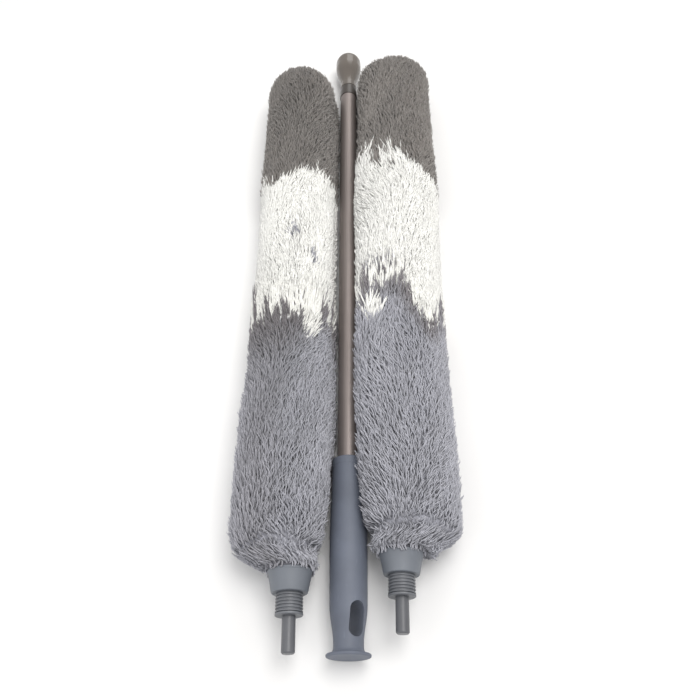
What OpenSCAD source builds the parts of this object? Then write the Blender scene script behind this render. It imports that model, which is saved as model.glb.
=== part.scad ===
// Feather duster kit: a telescopic twist-lock pole lying between two loose screw-on duster heads.
// Millimetres. +Y runs from the grip to the head socket, +Z is up, and the floor is z = 0.

/* [Pole] */
// length of the closed pole, from the flared end of the grip to the mouth of the socket
pole_length = 701; // [690:1:760]
// outside diameter of the outer tube
outer_tube_d = 19; // [19:0.5:20]
// outside diameter of the middle tube
middle_tube_d = 16; // [15.8:0.1:16.2]
// outside diameter of the inner tube
inner_tube_d = 13; // [12.6:0.1:13.2]
// wall of each tube
tube_wall = 0.4; // [0.35:0.05:0.5]
// running clearance of a sliding piece, on the radius
running_gap = 0.05; // [0.03:0.01:0.08]

/* [Grip] */
// length of the grip
grip_length = 155; // [140:1:170]
// largest diameter of the grip
grip_d = 30; // [28:0.1:30]
// diameter of the narrow neck above the flared end
grip_neck_d = 22.8; // [22:0.1:24]
// diameter of the flared end
flare_d = 34; // [33:0.1:34]
// width of the hanging slot
slot_w = 12; // [10:0.5:13]
// length of the hanging slot along the grip
slot_length = 25; // [22:0.5:27]
// roll of the hanging slot about the pole, from straight up towards +X
slot_roll = 30; // [0:1:40]

/* [Head socket] */
// largest diameter of the socket
socket_d = 30.4; // [29:0.1:30.6]
// diameter of the neck of the socket
socket_neck_d = 18.8; // [18:0.1:20]
// length of the socket
socket_length = 56.5; // [56:0.5:58]
// diameter of the threaded mouth
mouth_d = 21.6; // [21.4:0.1:22]
// depth of the threaded mouth
mouth_depth = 16.5; // [16.2:0.1:17]
// diameter of the pin bore
pin_bore_d = 10.36; // [10.3:0.02:10.4]

/* [Head] */
// length of the pile on a head
pile_length = 592; // [560:1:610]
// width of the pile
pile_w = 77; // [72:0.5:77]
// height of the middle of the pile above the floor
pile_axis_h = 28; // [27:0.5:30]
// length of the lower grey band
lower_band = 236; // [200:1:260]
// length of the white band
middle_band = 178; // [150:1:200]
// outside diameter of the core tube
core_d = 26; // [25.6:0.1:26.4]
// thickness of the knitted backing sleeve
sleeve_t = 1.2; // [0.8:0.1:1.6]
// diameter of the collar at its rim
collar_rim_d = 34.6; // [34:0.1:36]
// diameter of the collar at its small end
collar_small_d = 28; // [26:0.1:30]
// length of the collar
collar_length = 17; // [15:0.5:19]
// diameter over the rings of the screw thread
thread_d = 20.8; // [20.4:0.1:21]
// length of the screw thread, with its end flange
thread_length = 16; // [15:0.5:16]
// diameter of the pin
pin_d = 10.2; // [10.1:0.02:10.2]
// length of the pin past the thread
pin_length = 26; // [20:1:27]

/* [Lay-out] */
// distance of the pole from the middle of the set
pole_x = 1; // [0:0.1:1.5]
// distance of the middle of each pile from the middle of the set
pile_x = 55; // [55:0.5:60]
// where the tip of the left pin lies, across
left_pin_x = -42.4; // [-44:0.1:-40]
// where the tip of the right pin lies, across
right_pin_x = 40.4; // [39:0.1:43]
// where the tip of the left pin lies, from the flared end of the grip
left_pin_y = 0.5; // [0.5:0.5:20]
// where the tip of the right pin lies, from the flared end of the grip
right_pin_y = 14; // [0.5:0.5:20]
// turn of the left core away from the pole
left_turn = 1; // [0.5:0.1:1.2]
// turn of the right core away from the pole
right_turn = 1.2; // [0.5:0.1:1.4]

/* [Hidden] */
$fn = 72;

// radii of the tubes
outer_r = outer_tube_d / 2;
outer_ri = outer_r - tube_wall;
middle_r = middle_tube_d / 2;
middle_ri = middle_r - tube_wall;
inner_r = inner_tube_d / 2;
inner_ri = inner_r - tube_wall;
pole_h = flare_d / 2;

// stations along the pole, from the flared end
tube_start = 42;
plug_end = 50;
outer_end = pole_length - 67;
bush_end = pole_length - 64;
middle_start = 86;
middle_end = pole_length - 59;
middle_bush_end = pole_length - 57;
inner_start = 136;
socket_start = pole_length - socket_length;
inner_end = pole_length - 45.5;
rivet_at = pole_length - 51;
slot_from = 13;

// stations along a head, from the tip of its pin
thread_end = pin_length + thread_length;
rim_end = thread_end + collar_length;
pile_start = rim_end + 0.6;
core_end = rim_end + 541;
sleeve_r = core_d / 2 + sleeve_t;
core_ri = core_d / 2 - 2;
hem_r = sleeve_r + 1.6;
pile_r = pile_w / 2;
shank_r = pin_d / 2 - 0.5;

metal = [0.42, 0.36, 0.31];
grip_blue = [0.35, 0.4, 0.46];
dark_plastic = [0.2, 0.2, 0.2];
socket_grey = [0.4, 0.38, 0.37];
connector_grey = [0.42, 0.44, 0.45];
pin_grey = [0.32, 0.32, 0.34];
pile_grey = [0.5, 0.5, 0.54];
pile_white = [0.93, 0.93, 0.92];
backing_grey = [0.55, 0.55, 0.57];

// points on an arc round (r, u), from one angle to the other
function arc(r, u, size, from, to, steps = 6) =
    [for (i = [0:steps]) [r + size * cos(from + (to - from) * i / steps), u + size * sin(from + (to - from) * i / steps)]];

// a soft step from 0 to 1
function ease(t) = (1 - cos(180 * t)) / 2;

// points that run smoothly from radius r0 at u0 to radius r1 at u1
function blend(r0, u0, r1, u1, part = 1, steps = 8) =
    [for (i = [0:steps]) let (t = i / steps) [r0 + (r1 - r0) * (part * ease(t) + (1 - part) * t), u0 + (u1 - u0) * t]];

// turns +Z to +Y
module along_y() rotate([-90, 0, 0]) children();

// the frame of the pole: +Z of a child runs along the pole from the flared end
module pole() translate([pole_x, -pole_length / 2, pole_h]) along_y() children();

// a plain round piece from u0 to u1
module rod(r, u0, u1) translate([0, 0, u0]) cylinder(r = r, h = u1 - u0);

// a plain pipe from u0 to u1
module pipe(ri, ro, u0, u1) {
    difference() {
        rod(ro, u0, u1);
        rod(ri, u0 - 1, u1 + 1);
    }
}

// a conical piece from u0 to u1
module taper(r0, r1, u0, u1) translate([0, 0, u0]) cylinder(r1 = r0, r2 = r1, h = u1 - u0);

// ---- pole ----

module hanging_slot() {
    r = slot_w / 2;
    rotate([0, 0, slot_roll]) {
        translate([0, 0, slot_from + r]) rotate([90, 0, 0]) cylinder(r = r, h = 60, center = true);
        translate([0, 0, slot_from + slot_length - r]) rotate([90, 0, 0]) cylinder(r = r, h = 60, center = true);
        translate([-r, -30, slot_from + r]) cube([slot_w, 60, slot_length - slot_w]);
    }
}

module handle_grip() {
    flare_r = flare_d / 2;
    neck_r = grip_neck_d / 2;
    r = grip_d / 2;
    top_r = r - 1;
    color(grip_blue) pole() difference() {
        rotate_extrude() polygon(concat(
            [[0, 0]],
            arc(flare_r - 1.3, 1.3, 1.3, -90, 90),
            arc(neck_r + 4, 6.6, 4, 270, 180),
            blend(neck_r, 9, r - 0.5, 37),
            blend(r - 0.3, 48, r, 76, 1, 4),
            blend(r, 92, top_r - 0.3, grip_length - 8, 1, 6),
            [[top_r - 0.3, grip_length - 7], [top_r, grip_length - 6]],
            arc(top_r - 1.5, grip_length - 1.5, 1.5, 0, 90),
            [[0, grip_length]]
        ));
        rod(outer_r, tube_start, grip_length + 1);
        hanging_slot();
    }
}

module outer_tube() color(metal) pole() pipe(outer_ri, outer_r, tube_start, outer_end);

module tube_end_plug() color(dark_plastic) pole() rod(outer_ri, tube_start, plug_end);

module outer_mouth_bush() {
    color(dark_plastic) pole() difference() {
        union() {
            rod(outer_ri, outer_end - 11, outer_end);
            pipe(outer_r, outer_r + 0.6, outer_end - 7, outer_end);
            rod(outer_r + 0.6, outer_end, bush_end - 0.6);
            taper(outer_r + 0.6, outer_r, bush_end - 0.6, bush_end);
        }
        rod(middle_r + running_gap, 0, pole_length);
    }
}

module middle_tube() color(metal) pole() pipe(middle_ri, middle_r, middle_start, middle_end);

module middle_mouth_bush() {
    color(dark_plastic) pole() difference() {
        union() {
            rod(middle_ri, middle_end - 11, middle_end);
            pipe(middle_r, middle_r + 1.4, bush_end + 0.3, middle_end);
            rod(middle_r + 1.4, middle_end, middle_bush_end - 0.5);
            taper(middle_r + 1.4, middle_r + 0.9, middle_bush_end - 0.5, middle_bush_end);
        }
        rod(inner_r + running_gap, 0, pole_length);
    }
}

// stud of a twist lock; guide_r is the bore that the lock works in, at is where the moving tube begins
module lock_stud(guide_r, tube_r, tube_ri, at) {
    k = guide_r / 9.1;
    rod(tube_ri, at, at + 14);
    rod(tube_r, at - 2, at);
    rod(3 * k, at - 6, at - 2);
    rod(3.7 * k, at - 8, at - 6);
    rod(2.6 * k, at - 31, at - 8);
    rod(3.5 * k, at - 32.5, at - 31);
}

// split sleeve that the cone spreads against the wall of the guiding tube
module lock_sleeve(guide_r, at) {
    k = guide_r / 9.1;
    difference() {
        rod(guide_r - running_gap, at - 26, at - 2.3);
        rod(3 * k + 0.06, at - 7, at);
        rod(4.2 * k, at - 10.01, at - 5.8);
        taper(7.3875 * k, 4.2 * k, at - 27, at - 10);
        translate([0, -1, at - 27]) cube([12, 2, 26]);
    }
}

// cone that travels on the thread of the stud, keyed in the slit of the sleeve
module lock_cone(guide_r, at) {
    k = guide_r / 9.1;
    difference() {
        union() {
            taper(7.0125 * k - 0.08, 4.29375 * k - 0.08, at - 25, at - 10.5);
            translate([3.4 * k, -0.85, at - 24]) cube([guide_r - 0.6 - 3.4 * k, 1.7, 9]);
        }
        rod(2.6 * k + 0.06, at - 30, at);
    }
}

module middle_lock_stud() color(dark_plastic) pole() lock_stud(outer_ri, middle_r, middle_ri, middle_start);

module middle_lock_sleeve() color(socket_grey) pole() lock_sleeve(outer_ri, middle_start);

module middle_lock_cone() color(pin_grey) pole() lock_cone(outer_ri, middle_start);

module inner_tube() {
    color(metal) pole() difference() {
        pipe(inner_ri, inner_r, inner_start, inner_end);
        translate([0, 0, rivet_at]) rotate([0, 90, 0]) cylinder(r = 1.2, h = 40, center = true);
    }
}

module inner_lock_stud() color(dark_plastic) pole() lock_stud(middle_ri, inner_r, inner_ri, inner_start);

module inner_lock_sleeve() color(socket_grey) pole() lock_sleeve(middle_ri, inner_start);

module inner_lock_cone() color(pin_grey) pole() lock_cone(middle_ri, inner_start);

module head_socket() {
    r = socket_d / 2;
    neck_r = socket_neck_d / 2;
    lip_r = mouth_d / 2 + 0.8;
    round_r = 13;
    round_u = pole_length - sqrt(round_r * round_r - pow(lip_r - r + round_r, 2));
    lip_turn = acos((lip_r - r + round_r) / round_r);
    color(socket_grey) pole() difference() {
        rotate_extrude() polygon(concat(
            [[0, socket_start]],
            arc(neck_r - 0.6, socket_start + 0.6, 0.6, -90, 0, 3),
            blend(neck_r, socket_start + 9, r, socket_start + 36.5, 0.5, 10),
            arc(r - round_r, round_u, round_r, 0, lip_turn, 10),
            [[0, pole_length]]
        ));
        rod(mouth_d / 2, pole_length - mouth_depth, pole_length + 1);
        taper(mouth_d / 2 - 0.1, mouth_d / 2 + 0.6, pole_length - 0.6, pole_length + 0.1);
        rod(pin_bore_d / 2, pole_length - mouth_depth - 27, pole_length);
        rod(inner_r, socket_start - 1, inner_end);
        translate([0, 0, rivet_at]) rotate([0, 90, 0]) cylinder(r = 1.2, h = 40, center = true);
    }
}

module socket_rivet() {
    color(metal) pole() translate([0, 0, rivet_at]) rotate([0, 90, 0])
        cylinder(r = 1.2, h = socket_neck_d - 0.1, center = true);
}

// ---- heads: side is -1 for the left one and 1 for the right one ----

function pin_x(side) = side < 0 ? left_pin_x : right_pin_x;
function pin_y(side) = (side < 0 ? left_pin_y : right_pin_y) - pole_length / 2;
function turn(side) = side < 0 ? left_turn : right_turn;

// the frame of a head: +Z of a child runs along the core from the tip of the pin
module head(side) translate([pin_x(side), pin_y(side), pile_axis_h + 2]) rotate([0, 0, -side * turn(side)]) along_y() children();

// one band of the pile, flat where it lies on the floor
module pile(side, from, to) {
    flat_r = 16;
    near_r = pile_r - flat_r;
    far_r = pile_r - 10;
    difference() {
        intersection() {
            translate([side * pile_x, pin_y(side) + pile_start, pile_axis_h]) along_y()
                rotate_extrude() polygon(concat(
                    [[0, 0]],
                    [for (i = [0:8]) let (a = i * 90 / 8) [flat_r + near_r * sin(a), 26 * (1 - cos(a))]],
                    [for (i = [0:10]) let (a = i * 9) [10 + far_r * cos(a), pile_length - 34 + 34 * sin(a)]],
                    [[0, pile_length]]
                ));
            translate([side * pile_x - 60, pin_y(side) + pile_start + from, 0]) cube([120, to - from, 100]);
        }
        head(side) rod(sleeve_r, rim_end - 5, core_end + 5.2);
        head(side) rod(hem_r, rim_end - 5, rim_end + 9);
    }
}

module pile_lower(side) color(pile_grey) pile(side, -1, lower_band);

module pile_middle(side) color(pile_white) pile(side, lower_band, lower_band + middle_band);

module pile_upper(side) color(pile_grey) pile(side, lower_band + middle_band, pile_length + 1);

module backing_sleeve(side) {
    color(backing_grey) head(side) {
        pipe(core_d / 2, sleeve_r, rim_end + 0.3, core_end + 4);
        rod(sleeve_r, core_end + 4, core_end + 5.2);
    }
}

module core_tube(side) {
    color(dark_plastic) head(side) difference() {
        pipe(core_ri, core_d / 2, rim_end, core_end);
        cross_hole();
    }
}

module tip_plug(side) {
    color(dark_plastic) head(side) {
        rod(core_ri, core_end - 14, core_end);
        rod(core_d / 2, core_end, core_end + 3);
        taper(core_d / 2, core_d / 2 - 1, core_end + 3, core_end + 4);
    }
}

module hem_band(side) color(backing_grey) head(side) pipe(sleeve_r, hem_r, rim_end + 0.3, rim_end + 9);

module cross_hole() translate([0, 0, rim_end + 11]) rotate([0, 90, 0]) cylinder(r = 1.5, h = 60, center = true);

module collar(side) {
    small_r = collar_small_d / 2;
    rim_r = collar_rim_d / 2;
    color(connector_grey) head(side) difference() {
        union() {
            rotate_extrude() polygon(concat(
                [[0, thread_end]],
                arc(small_r - 1, thread_end + 1, 1, -90, 0, 3),
                [[rim_r - 0.4, rim_end - 2.2], [rim_r, rim_end - 1.6], [rim_r, rim_end - 0.4], [rim_r - 0.4, rim_end], [0, rim_end]]
            ));
            rod(core_ri, rim_end, rim_end + 17);
        }
        rod(8.8, thread_end - 1, rim_end + 1);
        cross_hole();
    }
}

// ringed screw thread: one ring for each turn
module screw_plug(side) {
    crest = thread_d / 2;
    root = crest - 1.2;
    rings = 6;
    first = pin_length + 1.9;
    pitch = (thread_end - first) / rings;
    color(connector_grey) head(side) difference() {
        rotate_extrude() polygon(concat(
            [[0, pin_length], [crest - 0.2, pin_length], [crest + 0.2, pin_length + 0.4]],
            [[crest + 0.2, pin_length + 1.4], [root, pin_length + 1.6]],
            [for (i = [0:rings - 1]) for (p = [[root, 0], [crest, 0.45], [crest, 1.15], [root, 1.6]]) [p[0], first + i * pitch + p[1]]],
            [[root, thread_end], [8.8, thread_end], [8.8, rim_end + 1], [0, rim_end + 1]]
        ));
        rod(shank_r, pin_length - 1, thread_end + 2);
    }
}

// the pin, with a short relief where it meets the thread and a thinner shank inside the plug
module spigot_pin(side) {
    color(pin_grey) head(side) {
        taper(pin_d / 2 - 1, pin_d / 2, 0, 1);
        rod(pin_d / 2, 1, pin_length - 0.5);
        rod(shank_r, pin_length - 0.5, thread_end + 2);
    }
}

module retaining_pin(side) {
    color(metal) head(side) translate([0, 0, rim_end + 11]) rotate([0, 90, 0])
        cylinder(r = 1.5, h = core_d - 0.2, center = true);
}

handle_grip();
outer_tube();
tube_end_plug();
outer_mouth_bush();
middle_tube();
middle_mouth_bush();
middle_lock_stud();
middle_lock_sleeve();
middle_lock_cone();
inner_tube();
inner_lock_stud();
inner_lock_sleeve();
inner_lock_cone();
head_socket();
socket_rivet();
pile_lower(-1);  // left_pile_lower
pile_middle(-1);  // left_pile_middle
pile_upper(-1);  // left_pile_upper
backing_sleeve(-1);  // left_backing_sleeve
core_tube(-1);  // left_core_tube
tip_plug(-1);  // left_tip_plug
hem_band(-1);  // left_hem_band
collar(-1);  // left_collar
screw_plug(-1);  // left_screw_plug
spigot_pin(-1);  // left_spigot_pin
retaining_pin(-1);  // left_retaining_pin
pile_lower(1);  // right_pile_lower
pile_middle(1);  // right_pile_middle
pile_upper(1);  // right_pile_upper
backing_sleeve(1);  // right_backing_sleeve
core_tube(1);  // right_core_tube
tip_plug(1);  // right_tip_plug
hem_band(1);  // right_hem_band
collar(1);  // right_collar
screw_plug(1);  // right_screw_plug
spigot_pin(1);  // right_spigot_pin
retaining_pin(1);  // right_retaining_pin
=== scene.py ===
"""Feather duster kit: a telescopic pole between two loose duster heads, whose pile is made tuft by tuft.

Metres, in the frame of the CAD model: +Y runs from the grip to the head socket, +Z is up, and the floor is
z = 0.
"""
import math

import bpy
import numpy as np
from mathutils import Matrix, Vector


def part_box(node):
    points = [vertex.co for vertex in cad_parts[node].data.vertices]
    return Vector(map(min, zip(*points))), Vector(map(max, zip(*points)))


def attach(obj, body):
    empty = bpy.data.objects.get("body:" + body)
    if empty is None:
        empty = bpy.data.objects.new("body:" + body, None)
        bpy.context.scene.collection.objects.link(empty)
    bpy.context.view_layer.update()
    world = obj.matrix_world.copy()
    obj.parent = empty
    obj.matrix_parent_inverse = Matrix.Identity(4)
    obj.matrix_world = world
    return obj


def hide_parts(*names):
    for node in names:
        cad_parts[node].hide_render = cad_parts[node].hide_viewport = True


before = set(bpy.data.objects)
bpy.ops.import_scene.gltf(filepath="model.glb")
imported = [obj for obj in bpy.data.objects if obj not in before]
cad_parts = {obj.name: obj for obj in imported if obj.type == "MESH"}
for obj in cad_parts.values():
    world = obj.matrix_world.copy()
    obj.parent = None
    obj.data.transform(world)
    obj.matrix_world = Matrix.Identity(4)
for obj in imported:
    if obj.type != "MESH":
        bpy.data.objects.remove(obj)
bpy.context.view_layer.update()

MM = 0.001
SIDES = {"left": -1.0, "right": 1.0}

grip_low, grip_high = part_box("handle_grip")
tube_low, tube_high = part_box("outer_tube")
socket_low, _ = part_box("head_socket")
POLE_X = (tube_low.x + tube_high.x) / 2
POLE_Z = (tube_low.z + tube_high.z) / 2
GRIP_END = grip_low.y
GRIP_NECK = grip_high.y
SOCKET_START = socket_low.y

# colours of the hard pieces
GRIP_BLUE_GREY = (0.123, 0.139, 0.178)
TUBE_BRONZE = (0.285, 0.247, 0.234)
BUSH_BLACK = (0.05, 0.042, 0.036)
LOCK_BLACK = (0.1, 0.1, 0.1)
SLEEVE_GREY = (0.3, 0.3, 0.29)
SOCKET_BROWN = (0.125, 0.108, 0.094)
STEEL = (0.6, 0.6, 0.6)
COLLAR_GREY = (0.15, 0.165, 0.19)
THREAD_GREY = (0.14, 0.147, 0.163)
PIN_GREY = (0.105, 0.109, 0.12)
CORE_BLACK = (0.06, 0.06, 0.06)
KNIT_DARK = (0.10, 0.10, 0.12)
KNIT_LIGHT = (0.24, 0.24, 0.27)

# colours of the yarn from root to tip, the darker roots being painted shade deep in the pile, then what it is
# multiplied by where it is tinted darker and warmer, which on the left pile's outer side is painted shade
GREY_YARN = ((0.35, 0.355, 0.39), (0.41, 0.415, 0.46), (0.485, 0.49, 0.545))
GREY_TINT_AND_SHADE = (0.47, 0.43, 0.41)
WHITE_YARN = ((0.86, 0.86, 0.835), (0.885, 0.885, 0.86), (0.905, 0.905, 0.88))
WHITE_TINT_AND_SHADE = (0.98, 0.98, 0.97)
FAR_YARN = ((0.15, 0.138, 0.127), (0.215, 0.198, 0.184), (0.28, 0.26, 0.243))
FAR_TINT_AND_SHADE = (0.9, 0.9, 0.9)
BED_COLOURS = ((0.4, 0.405, 0.455), (0.96, 0.96, 0.945), (0.19, 0.176, 0.163))


# ---------------------------------------------------------------- camera

def set_camera():
    """A camera above the grip's end, looking along the pole and down at it."""
    behind_grip = 84.7 * MM
    above_pole = 552 * MM
    tilt_down = 57.53
    lens = bpy.data.cameras.new("view")
    lens.lens = 36
    lens.sensor_width = 36
    lens.clip_start = 0.02
    lens.clip_end = 20
    lens.shift_x = 0.0021
    camera = bpy.data.objects.new("view", lens)
    bpy.context.scene.collection.objects.link(camera)
    camera.location = (POLE_X, GRIP_END - behind_grip, POLE_Z + above_pole)
    camera.rotation_euler = (math.radians(90 - tilt_down), 0, 0)
    bpy.context.scene.camera = camera


# ---------------------------------------------------------------- materials

class Finish:
    """A material made of nodes, with a Principled shader that its patterns feed."""

    def __init__(self, name, **values):
        self.material = bpy.data.materials.new(name)
        self.material.use_nodes = True
        self.tree = self.material.node_tree
        self.shader = self.tree.nodes["Principled BSDF"]
        for socket, value in values.items():
            self.shader.inputs[socket.replace("_", " ")].default_value = value
        self.place = self.tree.nodes.new("ShaderNodeTexCoord").outputs["Object"]

    def node(self, kind, **settings):
        made = self.tree.nodes.new("ShaderNode" + kind)
        for name, value in settings.items():
            if name in made.inputs.keys():
                made.inputs[name].default_value = value
            else:
                setattr(made, name, value)
        return made

    def join(self, out, into):
        self.tree.links.new(out, into)

    def feed(self, socket, out):
        self.join(out, self.shader.inputs[socket])

    def stretched(self, x, y, z):
        """The place on the object, times a factor each way."""
        mapping = self.node("Mapping")
        mapping.inputs["Scale"].default_value = (x, y, z)
        self.join(self.place, mapping.inputs["Vector"])
        return mapping.outputs["Vector"]

    def noise(self, scale, detail=3.0, rough=0.5, at=None):
        made = self.node("TexNoise", Scale=scale, Detail=detail, Roughness=rough)
        self.join(at or self.place, made.inputs["Vector"])
        return made.outputs["Fac"]

    def own_values(self):
        """The three values that each point of a piece carries, one output for each."""
        own = self.node("Attribute", attribute_name="tuft")
        parts = self.node("SeparateXYZ")
        self.join(own.outputs["Vector"], parts.inputs["Vector"])
        return parts.outputs["X"], parts.outputs["Y"], parts.outputs["Z"]

    def ramp(self, value, *stops):
        """A colour ramp: each stop is (position, colour or grey)."""
        made = self.node("ValToRGB")
        elements = made.color_ramp.elements
        while len(elements) < len(stops):
            elements.new(0.5)
        for element, (position, colour) in zip(elements, stops):
            element.position = position
            grey = not isinstance(colour, (tuple, list))
            element.color = (colour,) * 3 + (1,) if grey else tuple(colour) + (1,)
        self.join(value, made.inputs["Fac"])
        return made.outputs["Color"]

    def mix(self, a, b, factor, how="MIX"):
        made = self.node("Mix", data_type="RGBA", blend_type=how)
        for socket, value in ((0, factor), (6, a), (7, b)):
            if isinstance(value, bpy.types.NodeSocket):
                self.join(value, made.inputs[socket])
            elif isinstance(value, (tuple, list)):
                made.inputs[socket].default_value = tuple(value) + (1,)
            else:
                made.inputs[socket].default_value = value
        return made.outputs[2]

    def times(self, a, b):
        """One colour multiplied by another."""
        return self.mix(a, b, 1.0, "MULTIPLY")

    def maths(self, how, a, b=0.0, clamp=False):
        made = self.node("Math", operation=how, use_clamp=clamp)
        for socket, value in ((0, a), (1, b)):
            if isinstance(value, bpy.types.NodeSocket):
                self.join(value, made.inputs[socket])
            else:
                made.inputs[socket].default_value = value
        return made.outputs[0]

    def bump(self, height, depth, strength=1.0):
        made = self.node("Bump", Strength=strength, Distance=depth)
        self.join(height, made.inputs["Height"])
        self.feed("Normal", made.outputs["Normal"])


def moulded(name, colour, roughness, grain=0.00008, wear=0.06):
    """Moulded plastic: a soft cloudiness in its colour, a fine moulding grain and faint handling marks."""
    f = Finish(name, Roughness=roughness)
    dark = tuple(c * (1 - wear * 1.6) for c in colour)
    light = tuple(min(1, c * (1 + wear * 1.6)) for c in colour)
    tone = f.ramp(f.noise(38, 3), (0.3, dark), (0.7, light))
    scuff = f.ramp(f.noise(260, 4, 0.7, f.stretched(1, 0.25, 1)), (0.62, 0.0), (0.72, 1.0))
    lighter = tuple(min(1, c * 1.35 + 0.02) for c in colour)
    f.feed("Base Color", f.mix(tone, lighter, f.maths("MULTIPLY", scuff, wear * 4)))
    cloud = f.maths("MULTIPLY", f.noise(90, 3), 0.16)
    f.feed("Roughness", f.maths("ADD", cloud, roughness - 0.08, True))
    f.bump(f.noise(1600, 2), grain, 0.5)
    return f.material


def plated(name, colour):
    """Thin plated tube: satin, with fine lengthwise draw lines and faint smears in its gloss."""
    f = Finish(name, Metallic=0.6)
    lines = f.noise(900, 2, 0.6, f.stretched(1, 0.012, 1))
    smear = f.noise(30, 4, 0.6, f.stretched(1, 0.35, 1))
    dark, light = (tuple(c * k for c in colour) for k in (0.84, 1.12))
    f.feed("Base Color", f.ramp(lines, (0.25, dark), (0.75, light)))
    f.feed("Roughness", f.maths("ADD", f.maths("MULTIPLY", smear, 0.16), 0.4))
    f.bump(lines, 0.00002, 0.35)
    return f.material


def tuft_cloth(name, yarn, darkest, tint_and_shade):
    """Matt microfibre yarn: darker where it is rooted and lighter towards its tip, which is painted shade
    deep in the pile, each tuft with its own tone, and multiplied by the tint colour as far as it is tinted
    darker and warmer, which on the left pile's outer side is painted shade."""
    f = Finish(name, Roughness=0.88, Sheen_Weight=0.22, Sheen_Roughness=0.6)
    along, tone, tint_and_shade_share = f.own_values()
    root, body, tip = yarn
    # painted shade: the ramp runs from a darker root, deep in the pile, to a lighter tip
    colour = f.ramp(along, (0.0, root), (0.45, body), (1.0, tip))
    # the tone ramp; on the left pile's outer side the tone is lowered as painted shade
    colour = f.times(colour, f.ramp(tone, (0.0, darkest), (0.5, 1.0), (1.0, 1.1)))
    # a darker, warmer tint round the lower grey's edge, and painted shade on the left pile's outer side
    colour = f.times(colour, f.ramp(tint_and_shade_share, (0.2, (1.0, 1.0, 1.0)), (1.0, tint_and_shade)))
    fleck = f.ramp(f.noise(700, 2), (0.3, 0.9), (0.7, 1.06))
    f.feed("Base Color", f.times(colour, fleck))
    f.bump(f.noise(2600, 2), 0.0002, 0.5)
    return f.material


def undercoat_cloth(name, grey, white, far_grey):
    """The felted bed under the tufts: each point says whether it is in the grey, the white or the far
    band."""
    f = Finish(name, Roughness=0.95)
    _, is_white, is_far = f.own_values()
    colour = f.mix(f.mix(grey, white, is_white), far_grey, is_far)
    fleck = f.ramp(f.noise(520, 3, 0.6), (0.3, 0.75), (0.7, 1.05))
    f.feed("Base Color", f.times(colour, fleck))
    f.bump(f.noise(900, 3), 0.0015, 0.8)
    return f.material


def knitted(name):
    """Knitted cloth: a fine speckle of two greys with the same pattern in its height."""
    f = Finish(name, Roughness=0.9)
    weave = f.noise(1400, 2)
    f.feed("Base Color", f.ramp(weave, (0.3, KNIT_DARK), (0.7, KNIT_LIGHT)))
    f.bump(weave, 0.0004, 0.8)
    return f.material


def floor_finish(name):
    """Matt pale floor with a broad, faint cloudiness."""
    f = Finish(name, Roughness=0.8)
    f.feed("Base Color", f.ramp(f.noise(4, 2), (0.3, 0.82), (0.7, 0.86)))
    return f.material


def dress(material, *nodes):
    """Gives CAD nodes this material in place of the one they came with."""
    for name in nodes:
        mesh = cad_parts[name].data
        mesh.materials.clear()
        mesh.materials.append(material)


# ---------------------------------------------------------------- surfaces

def make_piece(name, points, faces, material, body, point_values, replaced=()):
    """A mesh object at the origin from an array of points and arrays of face corners, riding on a CAD body.
    Each point carries three values for its material."""
    mesh = bpy.data.meshes.new(name)
    corners = np.concatenate([f.reshape(-1) for f in faces]).astype(np.int32)
    sizes = np.concatenate([np.full(len(f), f.shape[1], np.int32) for f in faces])
    starts = np.concatenate([[0], np.cumsum(sizes)[:-1]]).astype(np.int32)
    mesh.vertices.add(len(points))
    mesh.vertices.foreach_set("co", np.ascontiguousarray(points, np.float32).reshape(-1))
    mesh.loops.add(len(corners))
    mesh.loops.foreach_set("vertex_index", corners)
    mesh.polygons.add(len(sizes))
    mesh.polygons.foreach_set("loop_start", starts)
    mesh.polygons.foreach_set("loop_total", sizes)
    mesh.update(calc_edges=True)
    mesh.polygons.foreach_set("use_smooth", np.full(len(sizes), True))
    values = mesh.attributes.new("tuft", "FLOAT_VECTOR", "POINT")
    values.data.foreach_set("vector", np.ascontiguousarray(point_values, np.float32).reshape(-1))
    mesh.materials.append(material)
    made = bpy.data.objects.new(name, mesh)
    bpy.context.scene.collection.objects.link(made)
    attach(made, body)
    if replaced:
        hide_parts(*replaced)
    return made


def unit(v):
    """Vectors scaled to length one."""
    return v / np.maximum(np.linalg.norm(v, axis=-1, keepdims=True), 1e-12)


def ease(value, start, end):
    """0 below start, 1 above end and between them the cubic step 3 t squared minus 2 t cubed."""
    t = np.clip((value - start) / (end - start), 0, 1)
    return t * t * (3 - 2 * t)


def short_way(angle):
    """The same angle the short way round, between minus and plus half a turn."""
    return (angle + np.pi) % (2 * np.pi) - np.pi


def lobe(turn, middle, half_width):
    """1 where turn is at middle, falling as a squared cosine to 0 at half_width degrees to either side."""
    away = short_way(turn - math.radians(middle))
    return np.cos(np.clip(away / math.radians(half_width), -1, 1) * np.pi / 2) ** 2


def bell(distance, reach):
    """e to the minus square of distance over reach: 1 at no distance and about a third at the reach."""
    return np.exp(-(distance / reach) ** 2)


# ---------------------------------------------------------------- the pile of a head

GREY, WHITE, FAR_GREY = 0, 1, 2

# the bands from the collar on: label, the CAD node that the tufts replace, colour slot
BANDS = (
    ("lower", "pile_lower", "pile_grey"),
    ("white", "pile_middle", "pile_white"),
    ("far", "pile_upper", "pile_dark_grey"),
)

# stray locks: head, millimetres from the flared end of the grip, turn in degrees, half length, half width and
# the band whose yarn they have
STRAYS = (
    ("left", 268, 53, 16, 9, WHITE),
    ("left", 366, 80, 6, 5, GREY),
    ("left", 340, 52, 8, 4, GREY),
    ("right", 283, 141, 9, 8, WHITE),
    ("right", 325, 130, 10, 13, GREY),
    ("right", 466, 130, 8, 7, FAR_GREY),
    ("right", 458, 104, 5, 4, FAR_GREY),
)

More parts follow.
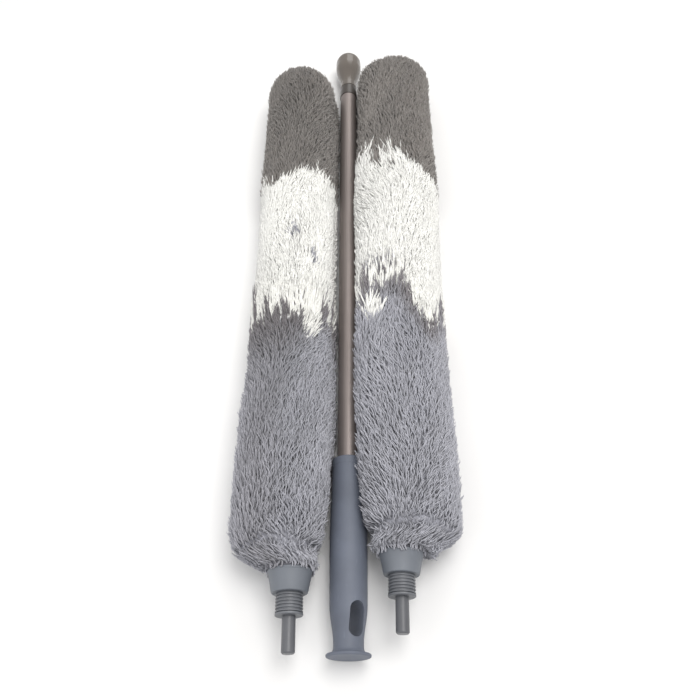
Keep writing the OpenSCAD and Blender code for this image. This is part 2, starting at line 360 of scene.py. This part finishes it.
# each head: random seed, length of its near shoulder, sag of its near end, and what is cut off its far end
LAY = {
    "left": (11, 36 * MM, 5 * MM, 8 * MM),
    "right": (23, 26 * MM, 9 * MM, 0.0),
}

# changes of the outline, as shares of its radius: (millimetres from the flared end of the grip, share)
LEFT_WAIST = ((0, 0.01), (190, 0), (240, -0.12), (330, -0.11), (480, -0.05), (650, 0.01))
RIGHT_LEAN = ((75, 0), (90, 0.1), (115, 0.2), (150, 0.27), (200, 0.31), (300, 0.3), (460, 0.25), (515, 0.19),
              (600, 0.15))

# how far the pile stays from the axis of the pole: (station along the pole, distance)
POLE_CLEARANCE = (
    (GRIP_END, 18.2 * MM),
    (GRIP_END + 6 * MM, 16.2 * MM),
    (GRIP_NECK + 1 * MM, 15.8 * MM),
    (GRIP_NECK + 8 * MM, 10.7 * MM),
    (SOCKET_START - 20 * MM, 10.9 * MM),
    (SOCKET_START, 11.2 * MM),
    (SOCKET_START + 20 * MM, 16.2 * MM),
)

ROOTS = 30000
MOST_TRIANGLES = 185000


def between(value, stops):
    """Straight lines between stops, each (place, height), and level beyond the first and the last."""
    places, heights = zip(*stops)
    return np.interp(value, places, heights)


class Pile:
    """The outside of one head's pile, and where its bands and locks are.

    A place on it is m, the distance along its outline from the middle of the near end over the side to the
    middle of the far end, and a turn round its axis: 0 points to +X and a quarter turn points up."""

    near_face = 12 * MM
    dome = 40 * MM
    bed_depth = 5.5 * MM
    lock_columns = 30
    lock_length = 9 * MM

    def __init__(self, side_name):
        self.name = side_name
        self.side = SIDES[side_name]
        seed, self.near_shoulder, self.hang, short_by = LAY[side_name]
        self.rng = np.random.default_rng(seed)
        low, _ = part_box(side_name + "_pile_lower")
        middle_low, middle_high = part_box(side_name + "_pile_middle")
        _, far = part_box(side_name + "_pile_upper")
        self.radius = (middle_high.x - middle_low.x) / 2
        self.axis_x = (middle_high.x + middle_low.x) / 2
        self.axis_z = middle_high.z - self.radius
        self.start = low.y
        self.length = far.y - low.y - short_by
        self.edges = (middle_low.y, middle_high.y)
        rim_low, rim_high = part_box(side_name + "_collar")
        self.core_x = (rim_low.x + rim_high.x) / 2
        self.core_z = (rim_low.z + rim_high.z) / 2
        self.rim_radius = (rim_high.z - rim_low.z) / 2 + 1.2 * MM
        self.waves = self.rng.uniform(0, 2 * np.pi, (4, 6))
        self.outline()

    def outline(self):
        """Radius, station and outward normal along m: a small flat face, a quarter ellipse, a straight side
        and a blunter dome, whose sine and cosine are raised to powers under one."""
        quarter = 40
        straight = 60
        a = np.linspace(0, np.pi / 2, quarter)
        grown = self.radius - self.near_face
        side_end = self.length - self.dome
        near_r = self.near_face + grown * np.sin(a)
        near_y = self.near_shoulder * (1 - np.cos(a))
        side_r = np.full(straight, self.radius)
        side_y = np.linspace(self.near_shoulder, side_end, straight + 2)[1:-1]
        dome_r = self.radius * np.cos(a) ** 0.8
        dome_y = side_end + self.dome * np.sin(a) ** 0.85
        r = np.concatenate([[0], near_r, side_r, dome_r])
        y = np.concatenate([[0], near_y, side_y, dome_y])
        self.m = np.concatenate([[0], np.cumsum(np.maximum(np.hypot(np.diff(r), np.diff(y)), 1e-9))])
        self.r = r
        self.y = y
        slope_r = np.gradient(r, self.m)
        slope_y = np.gradient(y, self.m)
        size = np.hypot(slope_r, slope_y)
        self.out_r = slope_y / size
        self.out_y = -slope_r / size
        self.full = self.m[-1]
        self.rim = float(np.interp(self.rim_radius, r[:quarter], self.m[:quarter]))

    def girth(self, y, turn):
        """The factor by which the pile is wider than the outline: one, plus three slow sine waves along and
        round it, a waist or a bulge on its outer side, and towards the pole a foot that spreads on the
        floor and a shoulder, which on the right leans over the pole."""
        v = (y - self.start) / self.length
        u = (y - GRIP_END) / MM
        w = self.waves
        lump = sum(np.sin(2 * np.pi * (1.3 + k) * v + w[0, k] + (k + 1) * turn + w[1, k]) * 0.012
                   for k in range(3))
        foot = 0.26 * ease(u, 105, 150)
        if self.side < 0:
            outer = lobe(turn, 180, 95) * between(u, LEFT_WAIST)
            inner = lobe(turn, 12, 50) * 0.08 * ease(u, 90, 125) + lobe(turn, -26, 24) * foot
        else:
            outer = lobe(turn, 0, 95) * (-0.07 + 0.14 * ease(u, 300, 480))
            inner = lobe(turn, 163, 52) * between(u, RIGHT_LEAN) + lobe(turn, 206, 24) * foot
        return 1 + lump + outer + inner

    def sag(self, m, turn):
        """How far the outer side of the near end hangs back past the collar: full from 10 mm past the rim,
        and gone again at 120 mm along the outline."""
        outside = math.degrees(0 if self.side > 0 else np.pi)
        share = ease(m, self.rim, self.rim + 10 * MM) * (1 - ease(m, 30 * MM, 120 * MM))
        return self.hang * lobe(turn, outside, 95) * share

    def on_floor(self, z, depth):
        """Heights kept over the floor: within 2 mm of the lowest layer and under it they ease to it,
        exponentially. The deeper in the pile a point is, the higher its lowest layer."""
        bed = 0.9 * MM + 0.25 * np.clip(depth, 0, 8 * MM)
        soft = 2 * MM
        return np.where(z < bed + soft, bed + soft * np.exp(np.minimum((z - bed - soft) / soft, 0)), z)

    def clear_of_pole(self, x, y, z, depth):
        """Points, pushed straight away from the axis of the pole as far as its clearance there asks."""
        clear = between(y, POLE_CLEARANCE) + 0.2 * np.clip(depth, 0, 8 * MM)
        dx = x - POLE_X
        dz = z - POLE_Z
        push = np.maximum(clear / np.maximum(np.hypot(dx, dz), 1e-6), 1)
        return np.stack([POLE_X + dx * push, y, POLE_Z + dz * push], -1)

    def place(self, m, turn, depth, first=0.0):
        """Points at a depth under the outside: the outline is moved inwards along its own normal, hung back
        at the near end, turned about the axis, widened by the girth, flattened on the floor and pressed
        clear of the pole. Before m = first it runs straight on over the collar's rim, and a tuft stays
        outside that rim."""
        inside = np.clip(m, first, self.full)
        r = np.interp(inside, self.m, self.r) - depth * np.interp(inside, self.m, self.out_r)
        y = np.interp(inside, self.m, self.y) - depth * np.interp(inside, self.m, self.out_y)
        y = y + self.start + np.clip(m - self.full, 0, 2 * MM) + np.clip(m - first, -4 * MM, 0)
        y = y - self.sag(m, turn)
        by_rim = (first > 0) & (m < self.full / 2)
        r = np.maximum(r, np.where(by_rim, self.rim_radius, 0.2 * MM))
        centred = ease(y - self.start, 0.5 * MM, 13 * MM)
        x = self.core_x + (self.axis_x - self.core_x) * centred
        z = self.core_z + (self.axis_z - self.core_z) * centred
        r = r * (1 + (self.girth(y, turn) - 1) * centred)
        x = x + r * np.cos(turn)
        z = z + r * np.sin(turn)
        return self.clear_of_pole(x, y, self.on_floor(z, depth), depth)

    def bed_share(self, m):
        """How much of its full depth the bed has: 0.15 of it beside the collar, and all of it from 45 mm
        along the outline."""
        return 0.15 + 0.85 * ease(m, 10 * MM, 45 * MM)

    def roots(self, count):
        """Even places for tufts: each is a fixed step along the area and a fixed step round from the one
        before it, the steps being one over the plastic number and over its square. They are thinned
        underneath and left out inside the collar."""
        step_along = 0.7548776662
        step_round = 0.5698402910
        underneath = -0.62
        thinned = 0.45
        n = np.arange(count)
        area = np.concatenate([[0], np.cumsum(np.diff(self.m) * (self.r[1:] + self.r[:-1]) / 2)])
        m = np.interp((0.5 + n * step_along) % 1 * area[-1], area, self.m)
        turn = 2 * np.pi * ((0.5 + n * step_round) % 1)
        dropped = (np.sin(turn) < underneath) & (self.rng.random(count) < thinned)
        keep = ~dropped & (m > self.rim)
        return m[keep], turn[keep]

    def locks(self, m, turn):
        """The lock that each place falls in: its middle round the head, and a random number of its own,
        which is the fraction of a large sine of the lock's column and row."""
        column = np.floor(turn / (2 * np.pi) * self.lock_columns)
        row = np.floor(m / self.lock_length + 0.5 * (column % 2))
        large = np.sin(column * 12.9898 + row * 78.233) * 43758.5453
        own = large - np.floor(large)
        return (column + 0.5 + 0.7 * (own - 0.5)) * 2 * np.pi / self.lock_columns, own

    def edge_stations(self, turn):
        """Where the lower grey ends and where the far grey begins, round the head, measured at the roots:
        the CAD model's own edges, moved by waves and lobes, because the tufts reach past their roots."""
        if self.side < 0:
            first = self.edges[0] + (-21 + 4 * np.sin(3 * turn) - 6 * lobe(turn, 180, 60)) * MM
            second = self.edges[1] + (-34 + 5 * np.sin(2 * turn + 0.6) + 6 * lobe(turn, 60, 40)) * MM
        else:
            steps = 12 * lobe(turn, 125, 42) - 16 * lobe(turn, 58, 32)
            first = self.edges[0] + (-20 - 17 * np.cos(turn) + 4 * np.sin(4 * turn) + steps) * MM
            back = 43 * ease(np.cos(turn), -0.1, 1)
            second = self.edges[1] + (-10 + 3 * np.sin(3 * turn) - back) * MM
        return np.stack([first, second])

    def band(self, y, turn, jitter):
        """The band of a tuft by where it is rooted, with the stray locks put in as ellipses."""
        first, second = self.edge_stations(turn)
        found = (y + jitter > first).astype(int) + (y + jitter > second)
        for head, station, degrees, half_length, half_width, band in STRAYS:
            along = (y - GRIP_END - station * MM) / (half_length * MM)
            aside = short_way(turn - math.radians(degrees)) * self.radius / (half_width * MM)
            if head == self.name:
                found = np.where(along ** 2 + aside ** 2 < 1, band, found)
        return found

    def undercoat(self, material):
        """A closed felted bed under the tufts: rows along m by columns round, with fine lumps in its depth,
        thin by the collar and under the white. Each point carries its band."""
        rows = 180
        columns = 90
        m = np.linspace(0, self.full, rows + 2)[1:-1]
        turn = np.linspace(0, 2 * np.pi, columns, endpoint=False)
        mm, tt = np.meshgrid(m, turn, indexing="ij")
        bands = self.band(np.interp(mm, self.m, self.y) + self.start, tt, 0)
        thin = self.bed_share(mm) * np.where(bands == WHITE, 0.6, 1)
        lumps = 1.2 * MM * np.sin(310 * mm + 3 * tt) * np.sin(5 * tt + 170 * mm)
        grid = self.place(mm, tt, (self.bed_depth + lumps) * thin).reshape(-1, 3)
        ends = self.place(np.array([0, self.full]), np.zeros(2), np.array([0.2, 1]) * self.bed_depth)
        i, j = np.meshgrid(np.arange(rows - 1), np.arange(columns), indexing="ij")
        k = (j + 1) % columns
        quads = np.stack([i * columns + j, i * columns + k, (i + 1) * columns + k, (i + 1) * columns + j], -1)
        c = np.arange(columns)
        n = (c + 1) % columns
        last = (rows - 1) * columns
        near = np.stack([n, c, np.full(columns, rows * columns)], -1)
        far = np.stack([last + c, last + n, np.full(columns, rows * columns + 1)], -1)
        bands = np.concatenate([bands.reshape(-1), [GREY, FAR_GREY]])
        values = np.stack([bands == GREY, bands == WHITE, bands == FAR_GREY], -1).astype(float)
        piece = make_piece(self.name + "_undercoat", np.concatenate([grid, ends]),
                           [quads.reshape(-1, 4), near, far], material, self.name + "_head", values)


class Tufts:
    """The tufts of one pile: tapered wavy tubes that lie back along it towards its far end. An array has
    one entry for each tuft, and s runs from 0 at a root to 1 at a tip."""

    rings = 6
    length_mm = (9, 15)
    wave_mm = (6, 10)
    sway_mm = (0.4, 1.0)
    thick_mm = (0.55, 0.8)
    edge_reach = 16 * MM

    def __init__(self, pile, count):
        self.pile = pile
        self.rng = pile.rng
        self.m, self.turn = pile.roots(count)
        self.n = len(self.m)
        self.s = np.linspace(0, 1, self.rings + 1)[None, :]
        self.y = np.interp(self.m, pile.m, pile.y)
        self.lock_turn, self.own = pile.locks(self.m, self.turn)
        self.first_edge, second_edge = pile.edge_stations(self.turn) - pile.start
        at_second = 0.35 * bell(self.y - second_edge, self.edge_reach)
        self.by_edge = bell(self.y - self.first_edge, self.edge_reach) + at_second
        self.bands = self.ragged_bands()
        self.white = self.bands == WHITE
        self.calm = np.where(self.white, 0.5, 1.0)

    def ragged_bands(self):
        """The band of each tuft. Tufts of one column of locks share how far they overrun an edge, up to
        11 mm either way at the first edge and 5 mm at the second, and each has about 1 mm of its own."""
        _, ragged = self.pile.locks(np.zeros(self.n), self.turn)
        upper = ease(self.y, self.pile.length * 0.55, self.pile.length * 0.6)
        jitter = (ragged - 0.5) * (22 - 12 * upper) * MM
        jitter = jitter + self.rng.normal(0, 1 * MM, self.n)
        return self.pile.band(self.y + self.pile.start, self.turn, jitter)

    def lengths(self):
        """A random length times factors: by its lock, more beside a band's edge, less beside the collar and
        more in the white. It ends at the far end of the pile."""
        by_lock = 0.85 + 0.3 * self.own
        beside_edge = 1 + 2.2 * self.by_edge * self.own ** 2
        beside_collar = 0.65 + 0.35 * ease(self.y, 20 * MM, 70 * MM)
        length = self.rng.uniform(*self.length_mm, self.n) * MM * by_lock * beside_edge
        length = length * beside_collar * np.where(self.white, 1.2, 1)
        return np.minimum(length, np.maximum(self.pile.full - self.m, 5 * MM))

    def leans(self):
        """The angle by which each tuft lies aside: two slow sine waves over the pile and a chance of its
        own, all less beside a band's edge."""
        w = self.pile.waves
        slow = 0.26 * np.sin(self.m * 24 + w[2, 0] + 2 * self.turn)
        quick = 0.2 * np.sin(self.m * 61 + 3 * self.turn + w[2, 1])
        return (slow + quick + self.rng.normal(0, 0.24, self.n)) * (1 - 0.65 * self.by_edge)

    def depths(self, turns):
        """Depths along each tuft: from the bed at its root to about the outside at its tip, by a power of s
        and with a ripple. Tips are calmer in the white, and the lock decides which stand out beside a band's
        edge."""
        thickness = self.pile.bed_depth + 0.7 * MM
        root = thickness * self.pile.bed_share(self.m) * self.calm ** 0.5
        rise = self.rng.normal(0, 0.9, self.n) * self.calm
        tip = np.clip(0.6 + rise - 1.6 * self.by_edge * (self.own - 0.2), -2.2, 3.0) * MM
        ripple = 0.4 * MM * np.sin(turns * 0.9 + 1)
        return root[:, None] + (tip - root)[:, None] * self.s ** 0.62 + ripple

    def paths(self):
        """The middle line of each tuft: it runs along m for its length, sways in a sine wave, is drawn
        towards the middle of its lock, and rises. Beside the collar three in four lie the other way, over
        its rim."""
        pile = self.pile
        s = self.s
        over_rim = (self.y < 15 * MM) & (self.rng.random(self.n) < 0.75)
        length = self.lengths()
        lean = self.leans()
        wave = self.rng.uniform(*self.wave_mm, self.n) * MM
        high = self.rng.uniform(*self.sway_mm, self.n) * self.calm * MM
        phase = self.rng.uniform(0, 2 * np.pi, self.n)
        turns = 2 * np.pi * s * (length / wave)[:, None] + phase[:, None]
        root_r = np.maximum(np.interp(self.m, pile.m, pile.r), 9 * MM)
        toward = short_way(self.lock_turn - self.turn) * root_r
        side = (length * np.sin(lean))[:, None] * s + high[:, None] * (0.35 + 0.65 * s) * np.sin(turns)
        side = side + ((0.2 + 0.55 * self.by_edge) * toward)[:, None] * s ** 1.5
        m = self.m[:, None] + (length * np.cos(lean) * np.where(over_rim, -1, 1))[:, None] * s
        turn = self.turn[:, None] + side / root_r[:, None]
        return pile.place(m, turn, self.depths(turns), first=pile.rim)

    def tubes(self, path):
        """Three-sided rings carried along the paths, square to them, which swell and then taper, and after
        them the tip. The ring's radius is a random thickness times a half sine and a falling power."""
        s = self.s
        ahead = unit(np.gradient(path, axis=1))
        level = path[..., 1]
        axis_x = np.full_like(level, self.pile.axis_x)
        axis_z = np.full_like(level, self.pile.axis_z)
        up = unit(path - np.stack([axis_x, level, axis_z], -1) + np.array([0, 1e-5, 0]))
        across = unit(np.cross(ahead, up))
        up = np.cross(across, ahead)
        swell = 0.6 + 0.4 * np.sin(np.pi * np.clip(s * 1.15, 0, 1))
        taper = swell * np.clip((1.12 - s) / 0.35, 0, 1) ** 0.6
        thick = self.rng.uniform(*self.thick_mm, self.n) * np.where(self.white, 1.3, 1 + 0.2 * self.by_edge)
        radius = thick[:, None] * MM * taper
        ring = np.arange(3) * 2 * np.pi / 3 + np.pi / 2
        aside = np.cos(ring)[:, None] * across[:, :-1, None, :]
        spokes = aside + np.sin(ring)[:, None] * up[:, :-1, None, :]
        tube = path[:, :-1, None, :] + radius[:, :-1, None, None] * spokes
        return np.concatenate([tube.reshape(self.n, -1, 3), path[:, -1:, :]], 1)

    def colouring(self):
        """Three values for each point: how far along its tuft it is, the tone of its tuft, and how much of
        the darker, warmer tint colour it takes.

        The tone is a half, plus a chance of its own, its lock's number and the product of two slow sine
        waves. The tint is a bell round the lower grey's edge. The outer side of the left pile is darker in
        tone
        and takes more of the tint colour: painted shade, as on the side away from the light."""
        w = self.pile.waves
        along = np.concatenate([np.repeat(self.s[0, :-1], 3), [1.0]])
        long_wave = np.sin(self.y * 19 + 3 * self.turn + w[3, 1])
        cloud = np.sin(self.y * 37 + 2 * self.turn + w[3, 0]) * long_wave
        # the left pile's outer side, which gets painted shade in its tone and its tint share
        outer = lobe(self.turn, 125, 90) * (self.pile.side < 0)
        tone = 0.5 + 0.18 * self.rng.normal(size=self.n) + 0.3 * (self.own - 0.5)
        # painted shade: the tone is lowered on the left pile's outer side
        tone = tone + 0.3 * cloud - 0.35 * outer
        # the darker, warmer tint round the lower grey's edge; it reaches further on the left pile's outer
        # side, where its floor of 0.45 is painted shade
        tint_and_shade = np.maximum(bell(self.y - self.first_edge, 22 * MM + 38 * MM * outer), 0.45 * outer)
        shape = (self.n, len(along))
        tones = np.broadcast_to(np.clip(tone, 0, 1)[:, None], shape)
        tint_and_shade_shares = np.broadcast_to(tint_and_shade[:, None], shape)
        return np.stack([np.broadcast_to(along, shape), tones, tint_and_shade_shares], -1)

    def faces(self):
        """Corners of one tuft's faces: four-cornered from ring to ring, and triangles to its tip and at its
        root."""
        i, j = np.meshgrid(np.arange(self.rings - 1), np.arange(3), indexing="ij")
        k = (j + 1) % 3
        quads = np.stack([i * 3 + j, (i + 1) * 3 + j, (i + 1) * 3 + k, i * 3 + k], -1).reshape(-1, 4)
        last = (self.rings - 1) * 3
        tip = last + 3
        ends = np.array([[last, tip, last + 1], [last + 1, tip, last + 2], [last + 2, tip, last], [0, 1, 2]])
        return quads, ends

    def pieces(self, materials):
        """Makes the tufts, band by band and in order along the pile, in pieces that stay under a number of
        triangles."""
        points = self.tubes(self.paths())
        values = self.colouring()
        quads, ends = self.faces()
        most = MOST_TRIANGLES // (2 * len(quads) + len(ends))
        head = self.pile.name
        for band, (label, node, slot) in enumerate(BANDS):
            chosen = np.nonzero(self.bands == band)[0]
            chosen = chosen[np.argsort(self.y[chosen], kind="stable")]
            for number, part in enumerate(np.array_split(chosen, math.ceil(len(chosen) / most)), 1):
                shift = (np.arange(len(part)) * points.shape[1])[:, None, None]
                corners = [(quads[None] + shift).reshape(-1, 4), (ends[None] + shift).reshape(-1, 3)]
                make_piece(f"{head}_tufts_{label}_{number}", points[part].reshape(-1, 3), corners,
                           materials[band], head + "_head", values[part].reshape(-1, 3),
                           [f"{head}_{node}"])


# ---------------------------------------------------------------- the set

def dress_pole():
    """Finishes of the pole's own pieces, and of all the steel pins."""
    dress(moulded("grip_plastic", GRIP_BLUE_GREY, 0.58, 0.0001), "handle_grip")
    dress(plated("bronze_plate", TUBE_BRONZE), "outer_tube", "middle_tube", "inner_tube")
    dress(moulded("bush_black", BUSH_BLACK, 0.3), "outer_mouth_bush", "middle_mouth_bush")
    dress(moulded("lock_plastic", LOCK_BLACK, 0.5), "tube_end_plug", "middle_lock_stud", "inner_lock_stud",
          "middle_lock_cone", "inner_lock_cone")
    dress(moulded("lock_sleeve_plastic", SLEEVE_GREY, 0.5), "middle_lock_sleeve", "inner_lock_sleeve")
    dress(moulded("socket_gloss", SOCKET_BROWN, 0.16, 0.00002), "head_socket")
    dress(plated("rivet_steel", STEEL), "socket_rivet", "left_retaining_pin", "right_retaining_pin")


def dress_heads():
    """Finishes of the hard and hidden pieces of the heads."""
    collar = moulded("collar_grey", COLLAR_GREY, 0.5)
    thread = moulded("thread_grey", THREAD_GREY, 0.45)
    pin = moulded("pin_dark", PIN_GREY, 0.4)
    core = moulded("core_black", CORE_BLACK, 0.5)
    knit = knitted("knit_backing")
    for side in SIDES:
        dress(collar, side + "_collar")
        dress(thread, side + "_screw_plug")
        dress(pin, side + "_spigot_pin")
        dress(core, side + "_core_tube", side + "_tip_plug")
        dress(knit, side + "_backing_sleeve", side + "_hem_band")


def cover_heads():
    """The pile of both heads: the felted bed, then the tufts in the three yarns."""
    bed = undercoat_cloth("pile_bed", *BED_COLOURS)
    yarns = (
        tuft_cloth("pile_yarn_grey", GREY_YARN, 0.78, GREY_TINT_AND_SHADE),
        tuft_cloth("pile_yarn_white", WHITE_YARN, 0.95, WHITE_TINT_AND_SHADE),
        tuft_cloth("pile_yarn_far_grey", FAR_YARN, 0.8, FAR_TINT_AND_SHADE),
    )
    for side in SIDES:
        pile = Pile(side)
        pile.undercoat(bed)
        Tufts(pile, ROOTS).pieces(yarns)


def add_lamp(name, place, size, power, colour):
    """A square lamp that points at the middle of the set."""
    lamp = bpy.data.lights.new(name, "AREA")
    lamp.size = size
    lamp.energy = power
    lamp.color = colour
    lit = bpy.data.objects.new(name, lamp)
    bpy.context.scene.collection.objects.link(lit)
    lit.location = place
    lit.rotation_euler = (Vector((0, 0, 0.03)) - lit.location).to_track_quat("-Z", "Y").to_euler()


def set_room():
    """A pale floor, soft light from above and an even bright room."""
    half = 12.0
    height = -0.5 * MM
    mesh = bpy.data.meshes.new("floor")
    corners = [(-half, -half, height), (half, -half, height), (half, half, height), (-half, half, height)]
    mesh.from_pydata(corners, [], [(0, 1, 2, 3)])
    mesh.materials.append(floor_finish("floor_pale"))
    floor = bpy.data.objects.new("floor", mesh)
    bpy.context.scene.collection.objects.link(floor)
    world = bpy.data.worlds.new("room")
    bpy.context.scene.world = world
    world.use_nodes = True
    background = world.node_tree.nodes["Background"]
    background.inputs["Color"].default_value = (1.0, 0.99, 0.98, 1)
    background.inputs["Strength"].default_value = 0.75
    add_lamp("key", (0.3, 0.0, 1.55), 0.9, 14, (1.0, 0.985, 0.965))
    add_lamp("fill", (-0.9, -0.6, 1.1), 1.0, 3, (0.97, 0.98, 1.0))
    add_lamp("back", (0.2, 1.5, 1.0), 0.8, 4, (1.0, 0.99, 0.97))
    bpy.context.scene.view_settings.view_transform = "Standard"


set_camera()
set_room()
dress_pole()
dress_heads()
cover_heads()
